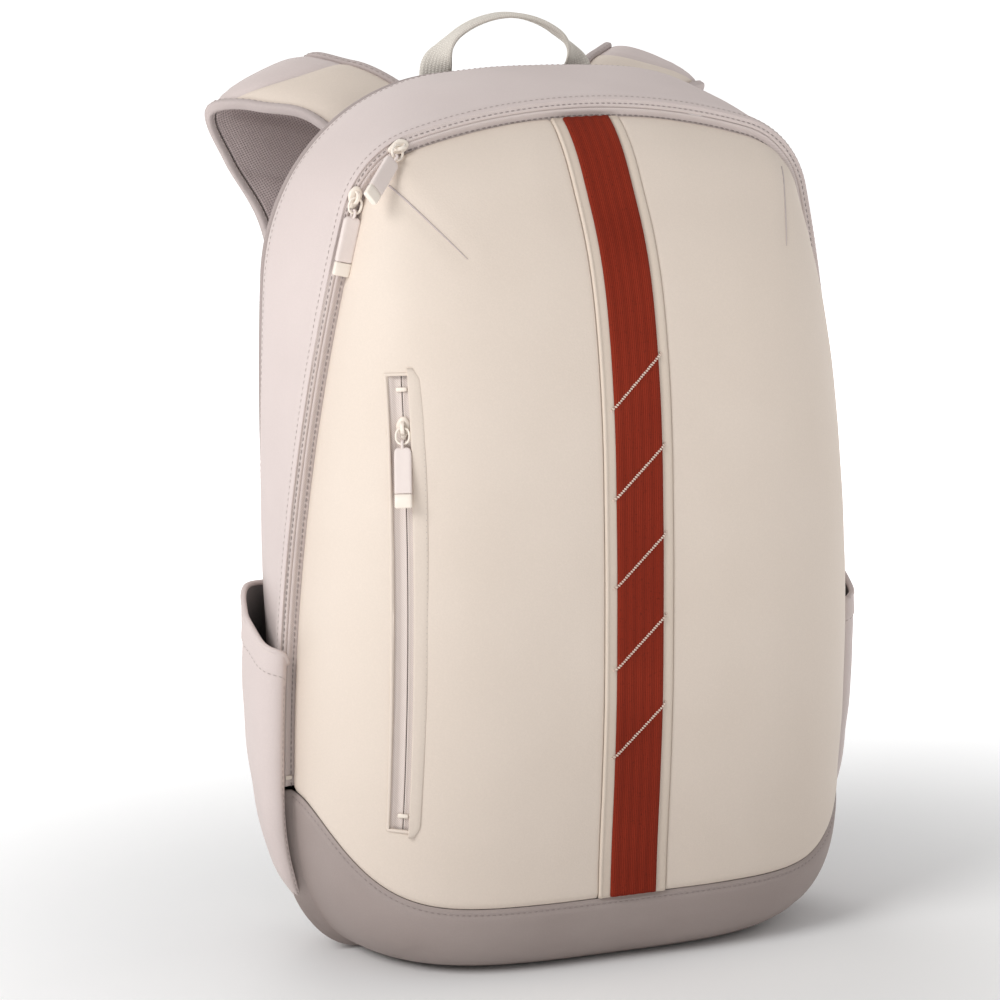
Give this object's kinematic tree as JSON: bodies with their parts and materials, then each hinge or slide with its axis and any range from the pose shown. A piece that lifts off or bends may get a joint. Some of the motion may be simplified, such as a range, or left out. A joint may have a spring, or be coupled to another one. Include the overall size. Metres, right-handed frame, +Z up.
{
  "type": "racket backpack",
  "caption": "Standing racket backpack with a domed front that opens along an arched zip, a striped webbing front, side pockets, padded shoulder straps and a grab handle.",
  "frame": {"origin": "on the flat underside of the base, on the bag's plane of symmetry", "axes": "+Z up, -Y out of the front panel, +Y towards the shoulder straps, +X to the right seen from the front"},
  "size_m": [0.3736, 0.2768, 0.5111],
  "materials": {
    "cream_shell": "satin coated synthetic leather",
    "taupe_shell": "matte coated synthetic leather",
    "strap_pad": "coated fabric over foam",
    "binding": "folded binding",
    "base_shell": "matte coated synthetic leather",
    "rust_webbing": "ribbed webbing",
    "cream_webbing": "ribbed webbing",
    "stitch_thread": "satin stitch",
    "cream_hardware": "satin moulded",
    "puller_grip": "matte moulded",
    "zip_tape": "woven tape",
    "zip_coil": "moulded coil",
    "back_mesh": "air mesh over foam",
    "lining": "plain woven",
    "board": "sheet"
  },
  "bodies": {
    "bag": {"back_panel": "back_mesh", "back_piping": "taupe_shell", "frame_sheet": "board", "gusset": "taupe_shell", "base_tub": "base_shell", "base_board": "board", "side_pocket_left": "taupe_shell", "side_pocket_right": "taupe_shell", "side_pocket_hem_left": "taupe_shell", "side_pocket_hem_right": "taupe_shell", "laptop_sleeve": "lining", "main_zip_tape_outer": "zip_tape", "main_zip_coil_outer": "zip_coil", "main_zip_stop_left": "cream_hardware", "main_zip_stop_right": "cream_hardware", "lower_webbing_left": "cream_webbing", "lower_webbing_right": "cream_webbing"},
    "front_flap": {"front_panel_left": "cream_shell", "front_panel_right": "cream_shell", "centre_strip": "cream_shell", "stripe_webbing": "rust_webbing", "accent_stitch_1": "stitch_thread", "accent_stitch_2": "stitch_thread", "accent_stitch_3": "stitch_thread", "accent_stitch_4": "stitch_thread", "accent_stitch_5": "stitch_thread", "pocket_welt": "cream_shell", "pocket_zip_tape_left": "zip_tape", "pocket_zip_tape_right": "zip_tape", "pocket_zip_coil": "zip_coil", "pocket_zip_stop_top": "cream_hardware", "pocket_zip_stop_foot": "cream_hardware", "pocket_bag": "lining", "main_zip_tape_inner": "zip_tape", "main_zip_coil_inner": "zip_coil"},
    "grab_handle": {"grab_handle": "cream_webbing"},
    "side_zip_slider": {"side_zip_slider": "cream_hardware"},
    "side_zip_puller": {"side_zip_ring": "cream_hardware", "side_zip_grip": "puller_grip", "side_zip_cap": "cream_hardware"},
    "top_zip_slider": {"top_zip_slider": "cream_hardware"},
    "top_zip_puller": {"top_zip_ring": "cream_hardware", "top_zip_grip": "puller_grip", "top_zip_cap": "cream_hardware"},
    "pocket_slider": {"pocket_slider": "cream_hardware"},
    "pocket_puller": {"pocket_ring": "cream_hardware", "pocket_grip": "puller_grip", "pocket_cap": "cream_hardware"},
    "shoulder_strap_left": {"shoulder_strap_left": "strap_pad", "strap_mesh_left": "back_mesh", "strap_binding_left": "binding", "strap_web_left": "cream_webbing"},
    "ladder_lock_left": {"ladder_lock_left": "cream_hardware"},
    "shoulder_strap_right": {"shoulder_strap_right": "strap_pad", "strap_mesh_right": "back_mesh", "strap_binding_right": "binding", "strap_web_right": "cream_webbing"},
    "ladder_lock_right": {"ladder_lock_right": "cream_hardware"}
  },
  "joints": [
    {"name": "front_flap_open", "type": "hinge", "parent": "bag", "child": "front_flap", "pos_m": [0, -0.0645, 0.04], "axis": [1, 0, 0], "range_deg": [0, 70]},
    {"name": "side_zip_travel", "type": "hinge", "parent": "bag", "child": "side_zip_slider", "pos_m": [1.0352, 0.0201, 0.13275], "axis": [0, -0.9981, -0.0609], "range_deg": [0, 10]},
    {"name": "side_zip_puller_swing", "type": "hinge", "parent": "side_zip_slider", "child": "side_zip_puller", "pos_m": [-0.13437, -0.00145, 0.42202], "axis": [-0.9752, -0.0135, 0.2208], "range_deg": [0, 70]},
    {"name": "top_zip_travel", "type": "hinge", "parent": "bag", "child": "top_zip_slider", "pos_m": [0, 0.02205, 0.10081], "axis": [0, 0.9981, 0.0609], "range_deg": [0, 33]},
    {"name": "top_zip_puller_swing", "type": "hinge", "parent": "top_zip_slider", "child": "top_zip_puller", "pos_m": [-0.10972, -0.00304, 0.44805], "axis": [-0.6428, -0.0467, 0.7646], "range_deg": [0, 125]},
    {"name": "pocket_zip_travel", "type": "hinge", "parent": "front_flap", "child": "pocket_slider", "pos_m": [-0.12834, 0.92093, 0.19182], "axis": [1, 0, -0.0081], "range_deg": [-0.45, 11.6]},
    {"name": "pocket_puller_swing", "type": "hinge", "parent": "pocket_slider", "child": "pocket_puller", "pos_m": [-0.12787, -0.04597, 0.30432], "axis": [-0.8347, 0.5478, -0.0569], "range_deg": [0, 140]},
    {"name": "handle_tilt", "type": "hinge", "parent": "bag", "child": "grab_handle", "pos_m": [0, 0.0985, 0.47], "axis": [1, 0, 0], "range_deg": [0, 18]},
    {"name": "strap_swing_left", "type": "hinge", "parent": "bag", "child": "shoulder_strap_left", "pos_m": [-0.062, 0.105, 0.422], "axis": [1, 0, 0], "range_deg": [0, 8], "deforming": ["lower_webbing_left"]},
    {"name": "ladder_lock_tilt_left", "type": "hinge", "parent": "shoulder_strap_left", "child": "ladder_lock_left", "pos_m": [-0.08453, 0.17649, 0.21121], "axis": [1, 0, 0], "range_deg": [-15, 15]},
    {"name": "strap_swing_right", "type": "hinge", "parent": "bag", "child": "shoulder_strap_right", "pos_m": [0.062, 0.105, 0.422], "axis": [1, 0, 0], "range_deg": [0, 8], "deforming": ["lower_webbing_right"]},
    {"name": "ladder_lock_tilt_right", "type": "hinge", "parent": "shoulder_strap_right", "child": "ladder_lock_right", "pos_m": [0.08453, 0.17649, 0.21121], "axis": [1, 0, 0], "range_deg": [-15, 15]}
  ]
}
